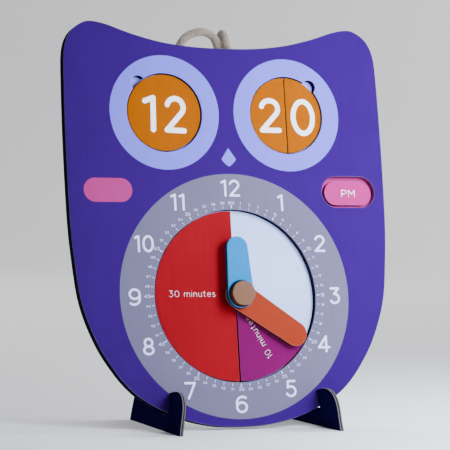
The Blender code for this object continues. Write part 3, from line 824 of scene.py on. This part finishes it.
def pen_path(items, step_deg):
    """Points of a pen stroke from its points and its arcs."""
    points = []
    for item in items:
        if len(item) == 2:
            points.append(Vector(item))
            continue
        x, z, across, tall, start, end = item
        count = max(2, round(abs(end - start) / step_deg))
        for step in range(count + 1):
            turn = math.radians(start + (end - start) * step / count)
            points.append(Vector((x + across * math.cos(turn), z + tall * math.sin(turn))))
    return points


def inked_stroke(points, pen, step_deg):
    """Outline of a stroke with round ends, counterclockwise."""
    left, right = [], []
    for index, point in enumerate(points):
        heading = (points[min(index + 1, len(points) - 1)] - points[max(index - 1, 0)]).normalized()
        normal = Vector((-heading.y, heading.x)) * pen / 2
        left.append(point + normal)
        right.append(point - normal)

    def end_cap(middle, start):
        """The half circle that ends a stroke, from one side of it to the other."""
        count = max(3, round(180 / step_deg))
        cap = []
        for step in range(1, count):
            turn = math.pi * step / count
            arm = start - middle
            cap.append(middle + Vector((arm.x * math.cos(turn) - arm.y * math.sin(turn),
                                        arm.x * math.sin(turn) + arm.y * math.cos(turn))))
        return cap
    return right + end_cap(points[-1], right[-1]) + left[::-1] + end_cap(points[0], left[0])


def lettering(text, height, pen, x, z, turn_deg=0.0, gap=0.26, step_deg=15, widen=1.0):
    """Outlines of all strokes of a text, centred on a place and turned counterclockwise."""
    scale = height - pen
    width = sum(SIGNS[sign][0] * widen for sign in text) + gap * (len(text) - 1)
    turn = Matrix.Rotation(math.radians(turn_deg), 2)
    outlines = []
    start = -width / 2
    for sign in text:
        for stroke in SIGNS[sign][1]:
            path = [
                Vector((x, z)) + turn @ Vector((start + point.x * widen, point.y - 0.5)) * scale
                for point in pen_path(stroke, step_deg)
            ]
            outlines.append(inked_stroke(path, pen, step_deg))
        start += SIGNS[sign][0] * widen + gap
    return outlines


def ink_film(name, texts, face, finish):
    """A thin closed layer of ink on a face, from groups of overlapping outlines.

    The outlines are joined in millimetres, because in metres their points lie too close together.
    """
    bm = bmesh.new()
    for outlines in texts:
        points, loops = [], []
        for outline in outlines:
            loops.append(list(range(len(points), len(points) + len(outline))))
            points.extend(point * MM_PER_M for point in outline)
        spots, _, triangles, _, _, sources = delaunay_2d_cdt(points, [], loops, 0, 0.00001, True)
        inked = [triangle for triangle, source in zip(triangles, sources) if source]
        used = sorted({spot for triangle in inked for spot in triangle})
        upper, lower = (
            {spot: bm.verts.new((spots[spot].x / MM_PER_M, depth, spots[spot].y / MM_PER_M))
             for spot in used}
            for depth in (face - PRINT_FILM, face + PRINT_FILM / 2)
        )
        rims = {}
        for triangle in inked:
            bm.faces.new([upper[spot] for spot in triangle])
            bm.faces.new([lower[spot] for spot in reversed(triangle)])
            for near, far in zip(triangle, list(triangle[1:]) + [triangle[0]]):
                rims[frozenset((near, far))] = rims.get(frozenset((near, far)), []) + [(near, far)]
        for uses in rims.values():
            if len(uses) == 1:
                near, far = uses[0]
                bm.faces.new((upper[far], upper[near], lower[near], lower[far]))
    return placed(name, bm, finish, smooth=False)


def printing_ink(name, thin, full):
    """A finish for printed lettering, a little thinner where the paper's grain is low."""
    made = Finish(name)
    ink_cover = made.place.noise(1500.0, detail=3.0, roughness=0.6)
    made.set(base_color=ink_cover.between(0.3, 0.7).mix(thin, full), roughness=ink_cover * 0.15 + 0.42,
             normal=ink_cover.bump(0.15, 0.00001))
    return made


white_ink = printing_ink("white_ink", ink(198, 200, 250), ink(209, 211, 255))
NUMERAL_RADIUS = 0.0703
NUMERAL_HEIGHT = 0.0112
NUMERAL_PEN = 0.0015
NUMERAL_SHIFTS = {
    1: (-0.0003, 0.0003), 2: (0.0007, -0.0010), 3: (-0.0001, -0.0006), 4: (-0.0006, 0.0028),
    5: (-0.0002, -0.0002), 6: (-0.0004, -0.0002), 7: (-0.0003, 0.0), 8: (-0.0014, 0.0030),
    9: (0.0003, -0.0004), 10: (-0.0010, -0.0012), 11: (-0.0023, 0.0002), 12: (-0.0001, 0.0003),
}
numerals = []
for hour, (right, higher) in NUMERAL_SHIFTS.items():
    turn = math.radians(30 * hour)
    numerals.append(lettering(str(hour), NUMERAL_HEIGHT, NUMERAL_PEN,
                              NUMERAL_RADIUS * math.sin(turn) + right,
                              NUMERAL_RADIUS * math.cos(turn) + higher, gap=0.34, step_deg=9,
                              widen=1.05 if hour == 10 else 1.15))
dress(ink_film("hour_numerals", numerals, 0.0, white_ink), "board", "purple_print")

MINUTE_RADIUS = 0.0600
WIDE_SHIFT, TALL_SHIFT = 0.0014, 0.0008  # a number's middle stands further out at the sides
minute_numbers = []
for minute in range(1, 61):
    turn = math.radians(6 * minute)
    height, pen = (0.0022, 0.00025) if minute % 5 == 0 else (0.0016, 0.00019)
    radius = MINUTE_RADIUS + abs(math.sin(turn)) * WIDE_SHIFT + abs(math.cos(turn)) * TALL_SHIFT
    minute_numbers.append(lettering(str(minute), height, pen, radius * math.sin(turn),
                                    radius * math.cos(turn), gap=0.34, step_deg=30, widen=1.3))
dress(ink_film("minute_numbers", minute_numbers, 0.0, white_ink), "board", "purple_print")

tree, (geometry, marks, reach, mark_length, mark_width, long_share, broad_share, film) = shape_tree(
    "minute_marks", ("Marks", "Inner Radius", "Length", "Width", "Long Share", "Broad Share", "Film"))
number = geometry.node("GeometryNodeInputIndex")
angle = number / marks * (2 * math.pi)
fifth = 1 - number.math("GREATER_THAN", number.math("MODULO", number, 5.0), 0.5)
longer = 1 + fifth * (long_share - 1)
broader = 1 + fifth * (broad_share - 1)
middle = reach + mark_length * longer / 2
spot = geometry.node("ShaderNodeCombineXYZ", values={
    0: middle * angle.math("SINE", angle), 1: film / -4, 2: middle * angle.math("COSINE", angle)})
spots = geometry.node("GeometryNodePoints", values={"Count": marks, "Position": spot})
bar_size = geometry.node("ShaderNodeCombineXYZ", values={0: mark_width, 1: film * 1.5, 2: mark_length})
bar = geometry.node("GeometryNodeMeshCube", values={"Size": bar_size})
bars = geometry.node("GeometryNodeInstanceOnPoints", values={
    "Points": spots, "Instance": bar,
    "Rotation": geometry.node("ShaderNodeCombineXYZ", values={1: angle}),
    "Scale": geometry.node("ShaderNodeCombineXYZ", values={0: broader, 1: 1.0, 2: longer}),
})
blank = in_scene("minute_marks_blank", bpy.data.meshes.new("blank"))
minute_marks = plain_mesh("minute_marks", blank, tree, {
    "Marks": 60.0, "Inner Radius": 0.0572, "Length": 0.0018, "Width": 0.00030, "Long Share": 1.12,
    "Broad Share": 1.9, "Film": PRINT_FILM,
}, bars, white_ink)
minute_marks.data.transform(board)
dress(minute_marks, "board", "purple_print")


# Axle: a turned beech knob and a button on the back, glued on a dowel, and a ring round the
# dowel that carries the hands clear of the pieces in the dial. The knob's face is end grain.
RING_MIDDLE_X, RING_MIDDLE_Z = 0.019, -0.013
RING_WAVES = 5200
RING_WANDER = 0.0009
FLANK_START, FLANK_END = 0.0077, 0.0080
beech = Finish("turned_beech")
spot = beech.place_on_board()
grain_across, _, grain_rise = spot.parts()
from_pith = (grain_across - RING_MIDDLE_X).distance(grain_rise - RING_MIDDLE_Z)
wander = spot.noise(220.0, detail=2.0) * RING_WANDER
growth = beech.start.math("SINE", (from_pith + wander) * RING_WAVES)
pores = spot.stretched(1, 0.08, 1).noise(2600.0, detail=3.0, roughness=0.7)
fleck = spot.stretched(1, 0.1, 1).noise(900.0, detail=2.0)
wood_tone = (growth * 0.18 + 0.5 + (fleck - 0.5) * 0.9).clamped()
flank = grain_across.distance(grain_rise).between(FLANK_START, FLANK_END)
wood = wood_tone.mix(ink(77, 48, 33), ink(133, 95, 72))
dark_pores = pores.between(0.56, 0.66) * 0.55
beech.set(
    base_color=flank.mix(dark_pores.mix(wood, ink(69, 41, 27)), ink(77, 47, 31)),
    roughness=pores * 0.2 + 0.5,
    specular_ior_level=0.1,
    normal=(pores * 0.6 + wood_tone * 0.4).bump(0.35, 0.00005),
)


TURNED_STEPS = 72
TURNED_EDGE_STEPS = 6


def turned_end(name, node, front_edge, back_edge):
    """A turned round end with softened edges, to its solid's own size."""
    low, high = extent(node)
    radius, front, back = high[0], low[1], high[1]
    quarter = [math.radians(90 * step / TURNED_EDGE_STEPS) for step in range(TURNED_EDGE_STEPS + 1)]
    profile = [(0.0, front), (radius * 0.5, front)]
    profile += [(radius - front_edge * (1 - math.sin(turn)), front + front_edge * (1 - math.cos(turn)))
                for turn in quarter]
    profile += [(radius - back_edge * (1 - math.cos(turn)), back - back_edge * (1 - math.sin(turn)))
                for turn in quarter]
    profile += [(radius * 0.5, back), (0.0, back)]
    piece = placed(name, turned(profile, (0, 1, 0), TURNED_STEPS, SAME_PLACE), beech)
    dress(piece, "board", "turned_wood", node)


turned_end("beech_knob", "front_knob", front_edge=0.0005, back_edge=0.0002)
turned_end("rear_beech_button", "rear_button", front_edge=0.0002, back_edge=0.0010)
for node in ("axle_pin", "hub_spacer"):
    frame["nodes"][node].data.materials[0] = beech.material


# Hands: 4 mm board with rounded rims, painted right round, a short blue one for the hour and
# a longer coral one for the minutes. Both turn on the dowel, with the knob's shadow painted on them as a
# dark ring.
HAND_RIM = 0.0006
KNOB_SHADOW_RADIUS, KNOB_SHADOW_FADE_RADIUS = 0.0087, 0.0094
for node, name, tones, slot in (
    ("hour_hand", "sky_blue_paint", (ink(0, 114, 173), ink(0, 120, 181)), "blue_print"),
    ("minute_hand", "coral_paint", (ink(131, 47, 28), ink(138, 50, 30)), "coral_print"),
):
    paint = Paper(name)
    from_hub = paint.across.distance(paint.rise)
    # A dark ring round the hub is painted shadow of the knob. It fades into the hand's print further out.
    coat = from_hub.between(KNOB_SHADOW_RADIUS, KNOB_SHADOW_FADE_RADIUS).mix(shade(tones[0], 0.06), paint.printed(*tones))
    # The pale rim colour is partly wear and partly a painted highlight.
    worn_highlight_colour = shade(tones[1], 1.8, 0.16)
    # The cut sides are painted darker than the face: partly a raw cut edge, partly painted shade.
    paint.finished(coat, worn_highlight_colour, paint.fibrous(shade(tones[0], 0.4)), rear=tones[0], worn_highlight_share=0.75)
    recut(node, paint, node, slot, front_rim=HAND_RIM, back_rim=HAND_RIM)


# Time pieces: loose die-cut slices that lie in the dial round the ring, a red half for thirty
# minutes and a magenta sixth for ten. Their words run from the rim towards the middle.
TILE_RIM = 0.0004
SLICE_TRIM = 0.0002
WORDS_HEIGHT = 0.0041
WORDS_PEN = 0.00018
tile_ink = printing_ink("tile_ink", ink(246, 242, 246), ink(252, 249, 252))
red_tones = ink(126, 10, 22), ink(134, 12, 24)
magenta_tones = ink(99, 9, 74), ink(106, 10, 79)
for node, text, words_x, words_z, turn_deg, name, tones, slot in (
    ("thirty_minute_piece", "30 minutes", -0.0303, 0.0016, 0, "red_printed_board", red_tones, "red_print"),
    ("ten_minute_piece", "10 minutes", 0.0145, -0.0274, 120, "magenta_printed_board", magenta_tones,
     "magenta_print"),
):
    slice_print = Paper(name)
    # The pale rim colour is partly wear and partly a painted highlight.
    worn_highlight_colour = shade(tones[1], 1.8, 0.14)
    cut_side = slice_print.fibrous(shade(tones[0], 0.35))
    slice_print.finished(slice_print.printed(*tones), worn_highlight_colour, cut_side, rear=tones[0], worn_highlight_share=0.7)
    recut(node, slice_print, node, slot, front_rim=TILE_RIM, back_rim=TILE_RIM, trim=SLICE_TRIM)
    low, _ = extent(node)
    words = lettering(text, WORDS_HEIGHT, WORDS_PEN, words_x, words_z, turn_deg, gap=0.34, step_deg=18,
                      widen=1.18)
    dress(ink_film(f"{node}_words", [words], low[1], tile_ink), node, slot)


# Eye tiles: orange discs that lift out by the finger notches. The left one is whole and gives
# the hour, and the right one is split into tens and units of minutes.
orange = Paper("orange_printed_board")
orange_tones = ink(146, 75, 0), ink(155, 80, 0)
# The pale rim colour is partly wear and partly a painted highlight.
orange.finished(orange.printed(*orange_tones), ink(237, 173, 80), orange.fibrous(ink(97, 45, 7)),
                rear=orange_tones[0], worn_highlight_share=0.5, gloss=0.0)
HOUR_TRIM, HALF_TRIM = 0.0003, 0.00012
# Each digit with its height, its pen, its place from the eye's middle, and how much it is widened.
for node, x, turn_deg, trim, digits in (
    ("hour_disc", eye_x, -2, HOUR_TRIM, [("1", 0.0246, 0.0036, -0.0104, -0.0011, 1.23),
                                         ("2", 0.0246, 0.0035, 0.0078, -0.0008, 1.0)]),
    ("minute_tens_half", -eye_x, 0, HALF_TRIM, [("2", 0.0234, 0.0034, -0.0114, -0.0002, 1.10)]),
    ("minute_units_half", -eye_x, 0, HALF_TRIM, [("0", 0.0250, 0.0035, 0.0123, -0.0011, 1.05)]),
):
    recut(node, orange, node, "orange_print", front_rim=TILE_RIM, back_rim=TILE_RIM, trim=trim)
    face = extent(node)[0][1]
    swing = Matrix.Rotation(math.radians(turn_deg), 2)
    outlines = []
    for digit, height, pen, off_x, off_z, widen in digits:
        place = Vector((x, eye_z)) + swing @ Vector((off_x, off_z))
        outlines.append(lettering(digit, height, pen, *place, turn_deg, step_deg=5, widen=widen))
    dress(ink_film(f"{node}_digits", outlines, face, tile_ink), node, "orange_print")


# Afternoon token: a pink pill of printed board, die-cut like the eye tiles. It lies loose in its
# window, with PM printed in white.
candy = Paper("pink_printed_board")
candy_tones = ink(161, 39, 111), ink(170, 42, 118)
# The pale rim colour is partly wear and partly a painted highlight.
candy.finished(candy.printed(*candy_tones), ink(241, 173, 215), candy.fibrous(ink(111, 29, 80)),
               rear=candy_tones[0], worn_highlight_share=0.5)
recut("pm_token", candy, "pm_token", "pink_print", front_rim=TILE_RIM, back_rim=TILE_RIM)
letters = lettering("PM", height=0.0048, pen=0.00046, x=token_x + 0.0002, z=token_z - 0.0001, gap=0.40,
                    step_deg=9, widen=1.30)
dress(ink_film("token_letters", [letters], token_low[1], tile_ink), "pm_token", "pink_print")


# Feet: each two plies of 1.1 mm card glued face to face and printed dark navy, pushed up onto
# the board's lower edge by a slot. Their raw grey cut edges show, with the dark glue line between.
SKIN_START, SKIN_END = 0.00014, 0.00008
GLUE_LINE_END, BOARD_START = 0.00024, 0.00046
for side in ("left", "right"):
    pull = next(joint for joint in frame["joints"] if joint["name"] == f"{side}_foot_pull_off")
    through = (-Vector(pull["axis"])).cross(into_board).normalized()
    nodes = [frame["nodes"][f"{side}_foot_{ply}_ply"] for ply in ("inner", "outer")]
    reaches = [corner.co.dot(through) for node in nodes for corner in node.data.vertices]
    card = Finish(f"{side}_foot_card")
    where = card.place.parts()
    along = where[0] * through.x + where[1] * through.y + where[2] * through.z
    off_seam = (along - (min(reaches) + max(reaches)) / 2).size()
    half = (max(reaches) - min(reaches)) / 2
    on_face = off_seam.between(half - SKIN_START, half - SKIN_END)
    fibre = card.place.noise(2200.0, detail=4.0, roughness=0.7)
    cloud = card.place.noise(60.0, detail=2.0)
    grey_board = fibre.between(0.3, 0.7).mix(ink(78, 72, 73), ink(110, 103, 103))
    raw = off_seam.between(GLUE_LINE_END, BOARD_START).mix(ink(12, 9, 16), grey_board)
    navy = (cloud * 0.5 + fibre * 0.5).between(0.35, 0.65).mix(ink(12, 6, 46), ink(17, 9, 55))
    card.set(base_color=on_face.mix(raw, navy), roughness=0.8 - on_face * 0.22,
             specular_ior_level=0.0, normal=fibre.bump(0.3, 0.00004))
    for node in nodes:
        node.data.materials[0] = card.material
